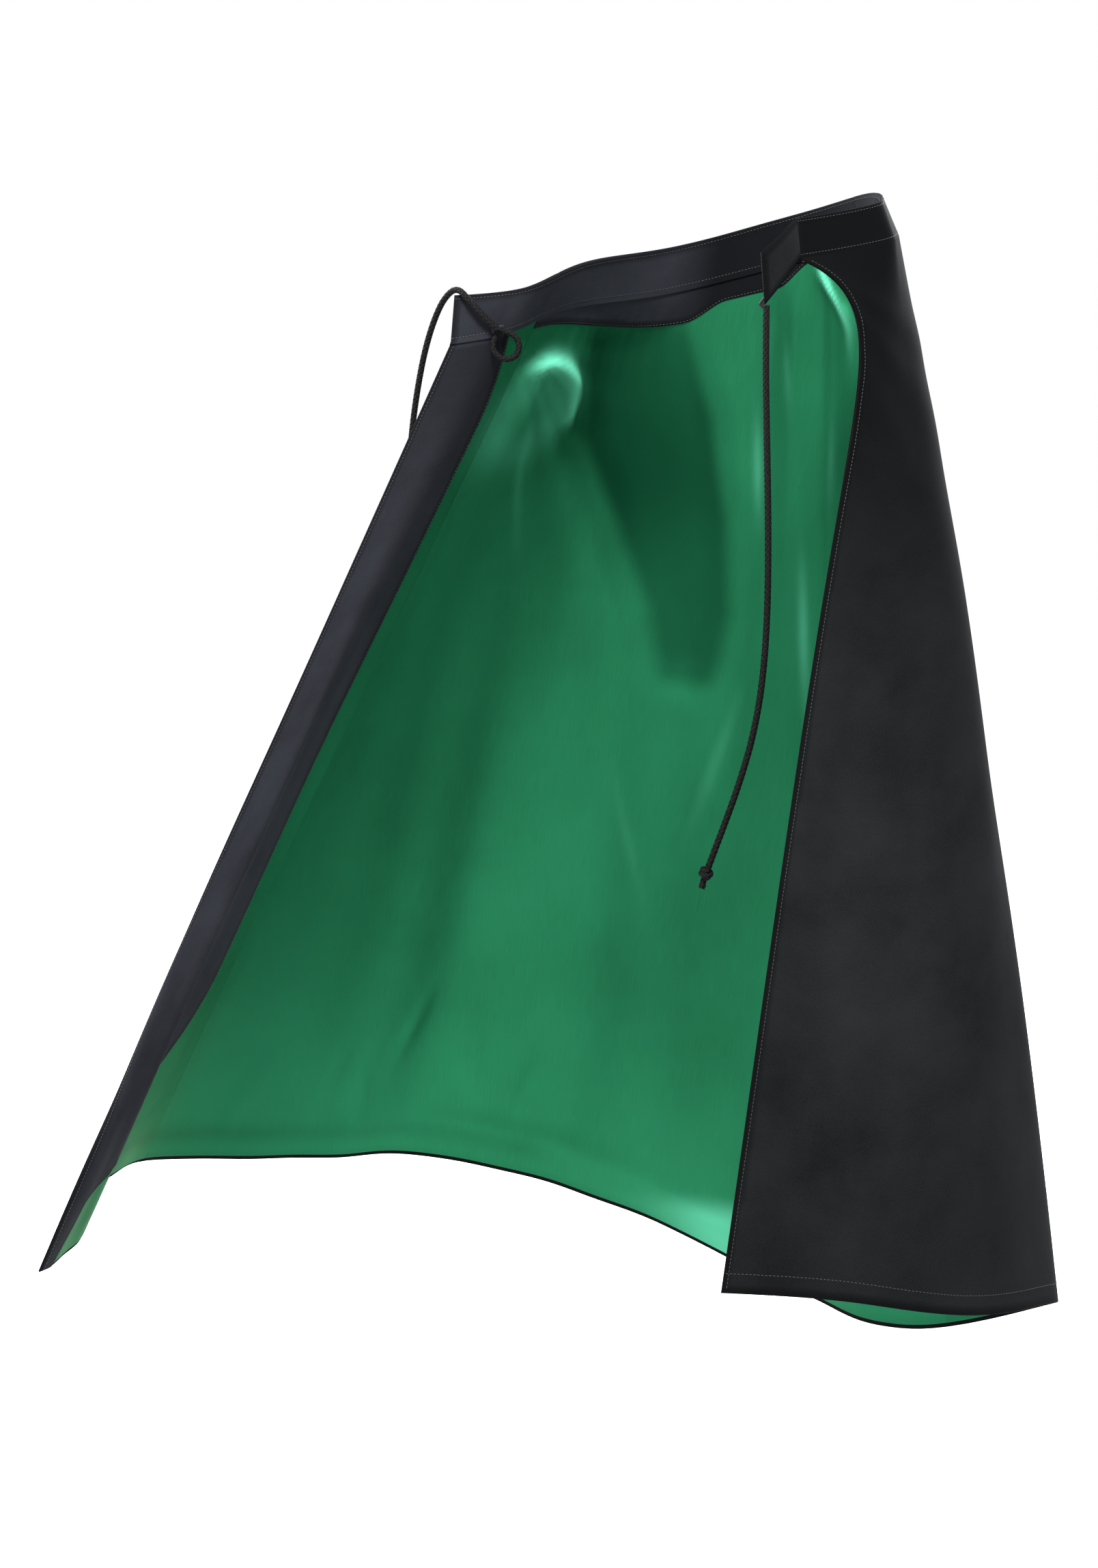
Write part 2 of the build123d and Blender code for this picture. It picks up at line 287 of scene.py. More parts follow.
def cord_material():
    """Black braided polyester cord."""
    s = Shader("black_cord", CORD_LIGHT)
    fluff = s.noise(900.0, 3.0)
    tone = s.blend((s.wave((130, 420, 1), 1.0, 1.2), 0.6), (fluff, 0.4))
    s.look(Base_Color=s.ramp(tone, [(0.3, CORD_DARK), (0.7, CORD_LIGHT)]),
           Roughness=s.math("ADD", s.blend((fluff, 0.2)), 0.6), Specular_IOR_Level=0.1,
           Normal=s.bump(tone, 0.5, 0.0005))
    return s.material


def thread_material():
    s = Shader("thread_black", THREAD_BLACK)
    twist = s.noise(1500.0, 2.0)
    colour = s.ramp(twist, [(0.3, darker(THREAD_BLACK, 0.6)), (0.7, THREAD_BLACK)])
    s.look(Base_Color=colour, Roughness=0.55)
    return s.material


def floor_material():
    s = Shader("studio_floor", FLOOR_DARK)
    grain = s.add("ShaderNodeTexNoise")
    s.set(grain, Vector=s.add("ShaderNodeTexCoord").outputs["Object"], Scale=3.0, Detail=3.0)
    s.look(Base_Color=s.ramp(grain.outputs["Fac"], [(0.3, FLOOR_DARK), (0.7, FLOOR_LIGHT)]),
           Roughness=0.9, Emission_Color=(1, 1, 1), Emission_Strength=0.22)
    return s.material


MATERIALS = {
    "satin_lining": satin_material(),
    "black_shell": twill_material("black_shell", SHELL_DARK, SHELL_MID, SHELL_LIGHT, 0.013),
    "black_facing": twill_material("black_facing", FACING_DARK, FACING_MID, FACING_LIGHT, 0.04),
    "interfacing": interfacing_material(),
    "black_cord": cord_material(),
    "thread_black": thread_material(),
}


# ---- The hung cloth's surface, as in the CAD ----
BAND_HEIGHT = 60 * MM
SWING_LEFT_U = 0.20         # the side seams, where the fronts swing
SWING_RIGHT_U = 0.70
NECK_SEAM = MM * np.array([
    (-265, -45, -115), (-230, -45, -110), (-195, -30, -100), (-155, 55, -67),
    (-105, 130, -58), (-50, 190, -50), (20, 215, -35), (85, 210, -20),
    (155, 190, -5), (215, 155, 10), (280, 60, 20), (280, -10, 10),
    (275, -55, 0), (255, -95, -5),
])
HEM = MM * np.array([
    (-750, -265, -1265), (-680, -270, -1215), (-695, -235, -1140), (-650, -10, -1183),
    (-510, 160, -1215), (-365, 255, -1230), (-185, 245, -1260), (0, 145, -1295),
    (200, 5, -1345), (345, -110, -1330), (565, -215, -1215), (430, -405, -1210),
    (295, -475, -1165), (145, -470, -1170),
])
CORNER_CURL = MM * np.array([80, -200, 66])     # the left front hem corner curls forward
CURL_WIDTH = 0.19
CURL_FROM_V = 0.62
SIDE_BILLOW = MM * np.array([22, -8, 0])        # the right side fills out below the shoulder
BILLOW_U = 0.80
FRONT_PULL = MM * np.array([-78, -20, -12])     # the right front top corner is drawn in
PULL_FROM_U = 0.86
PULL_FADE = 0.045
BAND_LEAN_LEFT = MM * np.array([-20, -3, 4])
BAND_LEAN_RIGHT = MM * np.array([-13, 0, -9])
TAB_TOP = MM * np.array([139, -163, -11])
TAB_LOW = MM * np.array([143, -160, -72])


def spline_weight(distance):
    """Weight of a control point at this distance, in steps of the control points."""
    distance = np.abs(distance)
    near = (4 - 6 * distance**2 + 3 * distance**3) / 6
    far = np.clip(2 - distance, 0, None) ** 3 / 6
    return np.where(distance < 1, near, far)


def along(line, u):
    """The points at u on a line of control points, which the spline's ends pass through."""
    before = 2 * line[0] - line[1]
    after = 2 * line[-1] - line[-2]
    points = [before, *line, after]
    at = np.asarray(u) * (len(line) - 1)
    weights = [spline_weight(at - step) for step in range(-1, len(line) + 1)]
    return sum(w[..., None] * p for w, p in zip(weights, points))


def smooth(t):
    """A smooth step from 0 to 1."""
    t = np.clip(t, 0, 1)
    return t * t * (3 - 2 * t)


def bell(t, middle, width):
    return np.exp(-(((t - middle) / width) ** 2))


def ruling(u):
    """The length of the cloth from neck seam to hem at u."""
    return np.linalg.norm(along(HEM, u) - along(NECK_SEAM, u), axis=-1)


def vectors(weight, vector):
    return weight[..., None] * vector


def unit(vector):
    return vector / np.linalg.norm(vector, axis=-1, keepdims=True)


def cape(u, v):
    """Points of the outer face of the cloth, as hung, before its folds."""
    point = along(NECK_SEAM, u) * (1 - v)[..., None] + along(HEM, u) * v[..., None]
    down = np.clip(v, 0, None)
    above = np.clip(-v, 0, None) * ruling(u) / BAND_HEIGHT
    left_end = np.clip(1 - u / CURL_WIDTH, 0, None) ** 2
    right_end = smooth((u - PULL_FROM_U) / (1 - PULL_FROM_U))
    right_side = smooth((u - SWING_RIGHT_U) / 0.12)
    billow = np.sin(np.pi * down) * right_side * bell(np.clip(u, BILLOW_U, None), BILLOW_U, 0.1)
    curl = smooth((v - CURL_FROM_V) / (1 - CURL_FROM_V)) ** 1.5
    pull = np.exp(-down / PULL_FADE) - 0.18 * (down / 0.1) * np.exp(1 - down / 0.1)
    return (point + vectors(billow, SIDE_BILLOW) + vectors(curl * left_end, CORNER_CURL)
            + vectors(pull * right_end, FRONT_PULL) + vectors(above * left_end, BAND_LEAN_LEFT)
            + vectors(above * right_side, BAND_LEAN_RIGHT))


def tab(s, t):
    """Points of the tab: s from the front panel to the tip, t from the band's top down."""
    end = np.ones_like(s)
    root = cape(end, -(BAND_HEIGHT / ruling(end)) * (1 - t))
    tip = vectors(1 - t, TAB_TOP) + vectors(t, TAB_LOW)
    return root * (1 - s)[..., None] + tip * s[..., None]


def outward(surface, a, b):
    """Unit normals of a surface, away from the wearer."""
    d = 0.001
    across = surface(a + d, b) - surface(a - d, b)
    down = surface(a, b + d) - surface(a, b - d)
    return unit(np.cross(across, down))


# ---- Folds ----
# Long folds that open towards the hem: (turns round the cape, phase, height in mm, lean)
LONG_FOLDS = [
    (4.5, 0.15, 5.0, 0.10), (7.5, 0.62, 3.6, -0.22), (12.5, 0.31, 2.2, 0.35),
    (19.0, 0.83, 1.1, -0.30),
]
# Narrow folds that hang beside the right front edge: (middle u, width in u, height in mm)
EDGE_FOLDS = [(0.560, 0.014, 5.0), (0.594, 0.012, -4.5), (0.632, 0.012, 4.0), (0.668, 0.010, -3.5)]
# Short puckers of the lining above the hem: (middle u, lean, height in mm, v)
PUCKERS = [
    (0.300, 0.10, 3.4, 0.90), (0.322, -0.06, 3.0, 0.93), (0.345, 0.12, 4.2, 0.84),
    (0.392, -0.10, 4.0, 0.87), (0.430, 0.08, 3.2, 0.90), (0.250, 0.05, 2.8, 0.92),
]
# Fans of folds from a point of the neck: (u, v, reach in m, folds (angle, width, height mm))
LOOP_FAN = (0.165, 0.012, 0.125, [
    (58, 9, 7.0), (40, 6, 4.2), (27, 5, 3.2), (12, 6, 2.2), (77, 7, 2.8),
])
TAB_FAN = (1.0, 0.004, 0.20, [
    (12, 7, 2.6), (26, 7, 3.2), (42, 8, 2.4), (60, 9, 1.8),
])
# The sides of the hollow that the back falls into: (v, left u, right u)
HOLLOW_SIDES = np.array([
    (0.00, 0.300, 0.420), (0.05, 0.312, 0.443), (0.15, 0.341, 0.492), (0.25, 0.402, 0.520),
    (0.35, 0.453, 0.533), (0.45, 0.482, 0.520),
])
HOLLOW_END = 0.425
# Painted streaks of light on the satin: (middle u, v, length in v, lean, brightness)
STREAKS = [
    (0.553, 0.20, 0.045, -0.10, 0.30), (0.607, 0.36, 0.060, -0.02, 0.34),
    (0.640, 0.20, 0.040, 0.06, 0.16), (0.585, 0.11, 0.030, -0.12, 0.14),
    (0.612, 0.47, 0.050, 0.05, 0.22), (0.535, 0.50, 0.060, 0.20, 0.10),
    (0.470, 0.60, 0.050, -0.30, 0.07), (0.275, 0.20, 0.070, -0.35, 0.12),
]
BULGE = (0.241, 0.121)      # u and v of the middle of the bag of lining below the loop
BULGE_RADIUS = 0.072


def fan(point, hub_u, hub_v, reach, spokes):
    """Heights of a fan of folds below a point of the neck, which open to the right."""
    offset = point - cape(np.array(hub_u), np.array(hub_v))
    distance = np.linalg.norm(offset, axis=-1)
    angle = np.degrees(np.arctan2(offset[..., 0] + 0.35 * offset[..., 1], -offset[..., 2]))
    height = sum(rise * MM * bell(angle, middle, width) for middle, width, rise in spokes)
    return height * (distance / reach) * np.exp(1 - distance / reach)


def dent(u, v, middle_u, width_u, middle_v, width_v):
    return bell(u, middle_u, width_u) * bell(v, middle_v, width_v)


def from_bulge(u, v):
    """Distance from the middle of the bag of lining below the loop, and how far it is to the
    upper right of it and above it, from -1 to 1."""
    x, y = (u - BULGE[0]) * 1.18, (v - BULGE[1]) * 1.22
    distance = np.hypot(x, y)
    around = distance + 0.01
    return distance, (0.62 * x - 0.78 * y) / around, (BULGE[1] - v) / around


def neck_bulge(u, v):
    """1 on the bag of lining below the loop: crisp at its upper right, soft elsewhere."""
    distance, upper_right, _ = from_bulge(u, v)
    crisp = 0.026
    fade = crisp + 0.10 * smooth((0.55 - upper_right) / 0.9)
    return 1 - smooth((distance - BULGE_RADIUS + 0.6 * (fade - crisp)) / fade)


def back_hollow(u, v, blur):
    """1 where the back falls in, with sides that fade over this much of u."""
    at, left, right = HOLLOW_SIDES.T
    inside = smooth(0.5 + (u - np.interp(v, at, left)) / blur)
    inside = inside * smooth(0.5 + (np.interp(v, at, right) - u) / blur)
    return inside * smooth(v / 0.06) * (1 - smooth((v - HOLLOW_END + blur / 2) / blur))


def edge_crease(v):
    """How far the crease below the tab has moved to the right, from 0 to 1."""
    return smooth(v / 0.085)


def lining_painted_shade(u, v):
    """Painted shade on the satin: where the back falls in, beside the right edge, low on the left,
    and in a band above the hem.
    """
    depth = 0.66 + 0.34 * dent(u, v, 0.42, 0.10, 0.20, 0.10)
    beside = 0.24 * smooth((u - 0.53) / 0.03) * (1 - smooth((v - 0.40) / 0.25))
    low = 0.36 * smooth((v - 0.50) / 0.3) * (1 - smooth((u - 0.22) / 0.14))
    band = 0.22 * bell(v, 0.968, 0.012) * (1 - smooth((u - 0.43) / 0.03))
    return np.clip(depth * back_hollow(u, v, 0.026) + beside + low + band, 0, 1)


def lining_gleam(u, v):
    """How strongly painted highlights lighten the satin: over the bag, on the right edge, on the
    flare of the hem, and in painted streaks.
    """
    distance, upper_right, above = from_bulge(u, v)
    rim = bell(distance, 0.077, 0.013) * smooth((upper_right - 0.28) / 0.42)
    crisp = smooth((above - 0.25) / 0.25) * smooth((upper_right - 0.42) / 0.28)
    rim = rim + 1.1 * bell(distance, 0.078, 0.0065) * crisp
    inner = 0.16 * bell(distance, 0.045, 0.035)
    edge = bell(u, 0.628 + 0.048 * edge_crease(v), 0.0055) * np.exp(-((v / 0.085) ** 4))
    edge = edge + 0.9 * bell(u, 0.629 + 0.048 * edge_crease(v), 0.0024) * bell(v, 0.035, 0.026)
    hem = 0.55 * bell(u, 0.560, 0.034) * smooth((v - 0.925 - 0.6 * np.abs(u - 0.57)) / 0.03)
    streaks = sum(size * dent(u + lean * (v - at), v, middle, 0.005, at, long)
                  for middle, at, long, lean, size in STREAKS)
    return np.clip(0.56 * (0.9 * rim + inner + 0.8 * edge + hem + streaks), 0, 1)


def shell_painted_shade(u, v, faces_wearer):
    """Painted shade on the black cloth: towards the neck's right end, low on the right front,
    inside the left edge, and at the band's left corner."""
    down = np.clip(v, 0, None)
    start = 0.385 if faces_wearer else 0.76
    right = 0.96 * smooth((u - start) / 0.09) * np.exp(-((down / 0.36) ** 2))
    low = 0.16 * smooth((u - 0.76) / 0.06) * smooth((v - 0.62) / 0.30)
    if not faces_wearer:
        return right + low
    strip = 0.22 + 0.44 * np.exp(-down / 0.17) + 0.34 * smooth((v - 0.6) / 0.3)
    strip = strip * smooth((0.20 - u) / 0.02) * smooth(v / 0.01)
    corner = 0.30 * smooth((0.135 - u) / 0.03) * smooth(-v / 0.005)
    return right + low + strip + corner


def folds(u, v):
    """How far the folded cloth stands outside the plain surface, in metres."""
    down = np.clip(v, 0, 1.2)
    height = np.zeros_like(u)
    for turns, phase, rise, lean in LONG_FOLDS:
        wave = np.cos(2 * np.pi * (turns * (u + 0.02 * np.sin(5 * down + phase)) + phase)
                      + 2 * np.pi * lean * down)
        height += rise * MM * wave * smooth((down - 0.02) / 0.9)
    height += 17 * MM * back_hollow(u, down, 0.07)
    height += 6 * MM * dent(u, down, 0.30, 0.06, 0.75, 0.22)
    hanging = np.exp(-down / 0.55) * smooth(down / 0.06)
    for middle, width, rise in EDGE_FOLDS:
        height += rise * MM * bell(u + 0.02 * down, middle, width) * hanging
    # The hem of the back flares where its weight swings out.
    height += 26 * MM * smooth((down - 0.955) / 0.05) * bell(u, 0.56, 0.075)
    return height * smooth((down + 0.004) / 0.02)


def lining_folds(u, v, point):
    """How far the lining alone stands in towards the wearer: never less than nothing."""
    puckers = sum(rise * MM * dent(u + lean * (v - at), v, middle, 0.006, at, 0.04)
                  for middle, lean, rise, at in PUCKERS)
    # Soft gathers under the neck facing.
    gathers = 0.5 + 0.5 * np.sin(2 * np.pi * (31 * u + 1.7 * np.sin(19 * u)))
    gathers = 0.8 * MM * gathers * np.exp(-np.clip(v, 0, None) / 0.05) * smooth((u - 0.2) / 0.05)
    bag = 4 * MM * dent(u, v, 0.40, 0.09, 0.955, 0.016)
    bulge = 15 * MM * neck_bulge(u, v) * smooth((u - 0.19) / 0.05) * (1 - smooth((v - 0.13) / 0.1))
    crease = 8 * MM * bell(u, 0.624 + 0.055 * edge_crease(v), 0.010) * np.exp(-v / 0.16)
    return fan(point, *LOOP_FAN) + puckers + gathers + bag + bulge + crease


def shell_fold(u, v, point):
    """Folds of the shell alone, which run out from the tab into the right front panel."""
    return fan(point, *TAB_FAN) * smooth((u - SWING_RIGHT_U) / 0.1) * smooth(v / 0.02)


# ---- Meshes ----
def cloth_uvs(front):
    """Distances over the cloth in metres, along its rows and columns."""
    across = np.linalg.norm(np.diff(front, axis=1), axis=-1)
    down = np.linalg.norm(np.diff(front, axis=0), axis=-1)
    x = np.concatenate([np.zeros((front.shape[0], 1)), np.cumsum(across, axis=1)], axis=1)
    y = np.concatenate([np.zeros((1, front.shape[1])), np.cumsum(down, axis=0)], axis=0)
    x = x - x[:, :1] - x[:, -1:] / 2
    return np.stack([x, y], axis=-1)


def set_uvs(mesh, uvs):
    corners = np.empty(len(mesh.loops), dtype=np.int32)
    mesh.loops.foreach_get("vertex_index", corners)
    mesh.uv_layers["cloth"].data.foreach_set("uv", uvs[corners].astype(np.float32).ravel())


def mesh_object(name, points, faces, uvs, material):
    mesh = bpy.data.meshes.new(name)
    mesh.from_pydata(points.tolist(), [], faces)
    mesh.uv_layers.new(name="cloth")
    set_uvs(mesh, uvs)
    mesh.polygons.foreach_set("use_smooth", [True] * len(mesh.polygons))
    mesh.materials.append(material)
    mesh.update()
    piece = bpy.data.objects.new(name, mesh)
    bpy.context.scene.collection.objects.link(piece)
    return piece


def grid_faces(rows, columns, start, flip):
    """Quads over a grid of points, which are numbered row by row from start."""
    n = start + np.arange(rows * columns).reshape(rows, columns)
    quads = np.stack([n[:-1, :-1], n[1:, :-1], n[1:, 1:], n[:-1, 1:]], axis=-1).reshape(-1, 4)
    return (quads[:, ::-1] if flip else quads).tolist()


def rim_loop(rows, columns):
    """The numbers of a grid's border points, once round."""
    n = np.arange(rows * columns).reshape(rows, columns)
    return np.concatenate([n[0], n[1:, -1], n[-1, -2::-1], n[-2:0:-1, 0]]).tolist()


def ring_faces(rings, sides):
    """Faces of a closed tube of rings of points."""
    faces = []
    for start in range(0, (rings - 1) * sides, sides):
        for k in range(sides):
            a, b = start + k, start + (k + 1) % sides
            faces.append((a, b, b + sides, a + sides))
    last = (rings - 1) * sides
    return faces + [tuple(range(sides))[::-1], tuple(range(last, last + sides))]


# ---- Cutting lines, as u or v of the other ----
FACING_WIDTH = 75 * MM
FACING_NECK_U = 0.177
FACING_HEM_U = 0.059
FACING_NARROWS = 0.75
FACING_TOP_TRIM = 0.030
FACING_TOP_END = 0.12
CORNER_TURN = (0.90, 0.04)    # the v where the lining laps over the facing at the left corner
NECK_FACING_DEPTH = 12 * MM
NECK_FACING_DIP = 37 * MM
NECK_FACING_DIP_U = (0.14, 0.28)
NECK_FACING_STEPS = [(0.43, 0.06, 20 * MM), (0.565, 0.05, 23 * MM)]
LINING_RISE = 5 * MM          # of the lining's hem over the shell's
FACING_RISE = 1.2 * MM
OVERLAP_U = 0.012             # of the lining under the facings


def level(value):
    """The line of one u or one v."""
    return lambda other: np.full_like(other, value, dtype=float)


def above_seam(distance):
    """The line this far above the neck seam."""
    return lambda u: -distance / ruling(u)


def above_hem(distance):
    return lambda u: 1 - distance / ruling(u)


def left_facing_edge(v):
    curled = np.clip(v - FACING_NARROWS, 0, None) / (1 - FACING_NARROWS)
    trimmed = np.clip(1 - v / FACING_TOP_END, 0, None) ** 2
    edge = FACING_NECK_U + (FACING_HEM_U - FACING_NECK_U) * curled**2 - FACING_TOP_TRIM * trimmed
    lapped = smooth((v - CORNER_TURN[0]) / CORNER_TURN[1])
    return edge * (1 - lapped) + (0.012 + 0.24 * (1 - v)) * lapped


def right_facing_edge(v):
    d = 0.01
    end = np.ones_like(v)
    rate = np.linalg.norm(cape(end, v) - cape(end - d, v), axis=-1) / d
    return 1 - FACING_WIDTH / rate


def neck_facing_edge(u):
    start, width = NECK_FACING_DIP_U
    depth = NECK_FACING_DEPTH + NECK_FACING_DIP * smooth((u - start) / width)
    for start, width, height in NECK_FACING_STEPS:
        depth = depth - height * smooth((u - start) / width)
    return depth / ruling(u)


def follow(piece, side):
    """Attach a back piece to the root body; for a front piece, only bake its transform into its
    mesh.
    """
    if side == "back":
        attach(piece, "root")
        return
    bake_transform(piece)


# ---- Sheets ----
# Layers of cloth: (depth of the outer face, thickness)
SHELL = (0.0, 1.0 * MM)
LINING = (1.9 * MM, 0.6 * MM)
FACING = (2.9 * MM, 0.8 * MM)
BAND_OUTER = (0.0, 1.0 * MM)
BAND_MIDDLE = (2.6 * MM, 0.8 * MM)
BAND_INNER = (4.9 * MM, 1.0 * MM)
BAND_STACK = sum(BAND_INNER)
# Radii of turned edges: where shell and facing meet, of the band, on the lining, at the hem
FRONT_RADIUS = 1.85 * MM
BAND_RADIUS = 2.85 * MM
LAP_RADIUS = 0.5 * MM
HEM_RADIUS = 1.5 * MM
LINING_RADIUS = 1.0 * MM
SEAM_DIP = 0.4 * MM
SEAM_DIP_WIDTH = 3.5 * MM
# Painted shade darkens the cloth within this distance of a turned edge.
EDGE_SHADE = 10 * MM          # how far a turned edge looks darker
# Slack in the lining and facings beside the side seams that swing: (u, width in u, height)
SEAM_SLACK = [(0.188, 0.018, 1.7 * MM), (0.715, 0.020, 1.3 * MM)]


def rolled(distance, radius):
    """How far a turned edge has rolled in, this far from its end."""
    short = np.clip(radius - distance, 0, None)
    return radius - np.sqrt(np.clip(radius**2 - short**2, 0, None))


def edge_distances(points):
    """Distances over a grid from its left, right, top and bottom sides, and its UVs."""
    uv = cloth_uvs(points)
    x, y = uv[..., 0], uv[..., 1]
    return {"l": x - x[:, :1], "r": x[:, -1:] - x, "t": y - y[:1], "b": y[-1:] - y}, uv


def inside_height(u, v, plain):
    """How far the lining and what is sewn on it stand off the shell, towards the wearer."""
    front = smooth((1 - u) / 0.05) * smooth(u / 0.05)
    slack = sum(height * bell(u, middle, width) for middle, width, height in SEAM_SLACK)
    return (lining_folds(u, v, plain) + slack) * front * smooth((v - 0.004) / 0.03)


def sheet(name, node, side, slot, layer, faces_wearer, cut, turned, seams):
    """A closed sheet of cloth over a grid of u and v, which stands for a node of the CAD.
    turned gives the radii of its turned edges, and seams its sewn sides, by their letters."""
    u, v = cut
    depth, thickness = layer
    plain, normal = cape(u, v), outward(cape, u, v)
    near, uv = edge_distances(plain)
    roll = dip = np.zeros_like(u)
    thin = shade = np.ones_like(u)
    for edge, radius in turned.items():
        roll = np.maximum(roll, rolled(near[edge], radius))
        thin = np.minimum(thin, 0.2 + 0.8 * smooth(near[edge] / (radius + 0.4 * MM)))
        shade = np.minimum(shade, near[edge] / EDGE_SHADE)
    for edge in seams:
        dip = dip + SEAM_DIP * np.exp(-(near[edge] / SEAM_DIP_WIDTH) ** 2)
    height = folds(u, v)
    if faces_wearer:
        inner = depth + thickness - roll - dip + inside_height(u, v, plain)
        outer = inner - thickness * thin
    else:
        height = height + shell_fold(u, v, plain)
        outer = depth + roll + dip
        inner = outer + thickness * thin
    layers = [plain + vectors(height - d, normal) for d in (outer, (outer + inner) / 2, inner)]
    # Painted shade at the turned edges; the satin also gets painted shade and painted highlights,
    # the black cloth more painted shade.
    tones = {"edge": np.exp(-shade**2) * (shade < 1)}
    if slot == "satin_lining":
        tones.update(hollow=lining_painted_shade(u, v), gleam=lining_gleam(u, v))
    else:
        tones["hollow"] = shell_painted_shade(u, v, faces_wearer)
    piece = closed_sheet(name, layers, uv, tones, MATERIALS[slot])
    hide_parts(node)
    follow(piece, side)


def closed_sheet(name, layers, uv, tones, material):
    """A mesh of two faces and a rim between three layers of points, with attributes of painted
    shade and painted highlights to colour it.
    """
    outer, middle, inner = layers
    rows, columns = outer.shape[:2]
    count = rows * columns
    border = rim_loop(rows, columns)
    size = len(border)
    faces = grid_faces(rows, columns, 0, False) + grid_faces(rows, columns, count, True)
    for k in range(size):
        a, b = border[k], border[(k + 1) % size]
        ra, rb = 2 * count + k, 2 * count + (k + 1) % size
        faces += [(a, b, rb, ra), (ra, rb, b + count, a + count)]

    def over_all(first, second, rim):
        flat = [values.reshape(count, -1) for values in (first, second, rim)]
        return np.concatenate([flat[0], flat[1], flat[2][border]])

    piece = mesh_object(name, over_all(outer, inner, middle), faces, over_all(uv, uv, uv), material)
    for tone, values in tones.items():
        attribute = piece.data.attributes.new(tone, "FLOAT", "POINT")
        values = over_all(values, values, values).astype(np.float32)
        attribute.data.foreach_set("value", values.ravel())
    mark_sharp(piece.data, border, count)
    return piece


def mark_sharp(mesh, border, count):
    """Split the shading along the rim, so that it doesn't tint the faces."""
    on_rim = np.zeros(len(mesh.vertices), bool)
    on_rim[border] = True
    on_rim[np.array(border) + count] = True
    ends = np.empty(len(mesh.edges) * 2, dtype=np.int32)
    mesh.edges.foreach_get("vertices", ends)
    ends = ends.reshape(-1, 2)
    same_face = (ends[:, 0] < count) == (ends[:, 1] < count)
    sharp = on_rim[ends[:, 0]] & on_rim[ends[:, 1]] & same_face
    mesh.attributes.new("sharp_edge", "BOOLEAN", "EDGE").data.foreach_set("value", sharp)


def steps(count, first=False, last=False):
    """Steps from 0 to 1 with extra ones close to each end that has a turned edge."""
    close = np.array([0.0006, 0.0014, 0.0026, 0.0044])
    return np.unique(np.concatenate([np.linspace(0, 1, count), close[:4 * first],
                                     1 - close[:4 * last]]))


def grid(u_from, u_to, v_from, v_to, across, down):
    """Grids of u and v between four cutting lines, at these steps of each."""
    s, t = across[None, :], down[:, None]
    v_middle = v_from(np.array(0.45)) * (1 - t) + v_to(np.array(0.45)) * t
    u = u_from(v_middle) * (1 - s) + u_to(v_middle) * s
    return u, v_from(u) * (1 - t) + v_to(u) * t


LEFT_SEAM, RIGHT_SEAM = level(SWING_LEFT_U), level(SWING_RIGHT_U)
NECK_LINE, HEM_LINE, FACING_HEM = level(0.0), level(1.0), above_hem(FACING_RISE)
DOWN = steps(215, last=True)
BAND_DOWN = np.unique(np.concatenate([np.linspace(0, 1, 15), [0.010, 0.022, 0.040]]))
# Gores: left and right cutting lines, steps, front edge, side seams, flat size in m, area in m2
GORES = {
    "left_front": (level(0.0), LEFT_SEAM, steps(52, first=True), "l", "r", (0.375, 1.267), 0.205),
    "back": (LEFT_SEAM, RIGHT_SEAM, steps(190), "", "lr", (1.331, 1.351), 1.130),
    "right_front": (RIGHT_SEAM, level(1.0), steps(110, last=True), "r", "l", (0.683, 1.351), 0.628),
}


def make_gores():
    for side, (left, right, across, front, seams, flat, area) in GORES.items():
        cut = grid(left, right, NECK_LINE, HEM_LINE, across, DOWN)
        turned = {edge: FRONT_RADIUS for edge in front}
        sheet(f"{side}_shell_cloth", f"{side}_panel", side, "black_shell", SHELL, False, cut,
              {**turned, "b": HEM_RADIUS}, seams)


def make_linings():
    cuts = {
        "left_front": (lambda v: left_facing_edge(v) - 0.6 * OVERLAP_U, LEFT_SEAM, 24, "r",
                       (0.200, 1.260), 0.082),
        "back": (LEFT_SEAM, RIGHT_SEAM, 190, "lr", (1.331, 1.346), 1.125),
        "right_front": (RIGHT_SEAM, lambda v: right_facing_edge(v) + OVERLAP_U, 90, "l",
                        (0.620, 1.346), 0.530),
    }
    for side, (left, right, columns, seams, flat, area) in cuts.items():
        cut = grid(left, right, NECK_LINE, above_hem(LINING_RISE), steps(columns), DOWN)
        sheet(f"{side}_lining_cloth", f"{side}_lining", side, "satin_lining", LINING, True, cut,
              {"b": LINING_RADIUS}, seams)


def make_facings():
    cuts = {
        "left_front_facing": (
            "left_front", grid(level(0.0), left_facing_edge, NECK_LINE, FACING_HEM,
                               steps(44, True, True), DOWN),
            {"l": FRONT_RADIUS, "r": LAP_RADIUS, "b": HEM_RADIUS}, "", (0.150, 1.267), 0.128),
        "right_front_facing": (
            "right_front", grid(right_facing_edge, level(1.0), NECK_LINE, FACING_HEM,
                                steps(24, True, True), DOWN),
            {"r": FRONT_RADIUS, "l": LAP_RADIUS, "b": HEM_RADIUS}, "", (0.075, 1.250), 0.093),
        "back_neck_facing": (
            "back", grid(LEFT_SEAM, RIGHT_SEAM, NECK_LINE, neck_facing_edge, steps(190),
                         steps(14, last=True)),
            {"b": LAP_RADIUS}, "lr", (0.530, 0.048), 0.0195),
    }
    for node, (side, cut, turned, seams, flat, area) in cuts.items():
        sheet(f"{node}_cloth", node, side, "black_facing", FACING, True, cut, turned, seams)


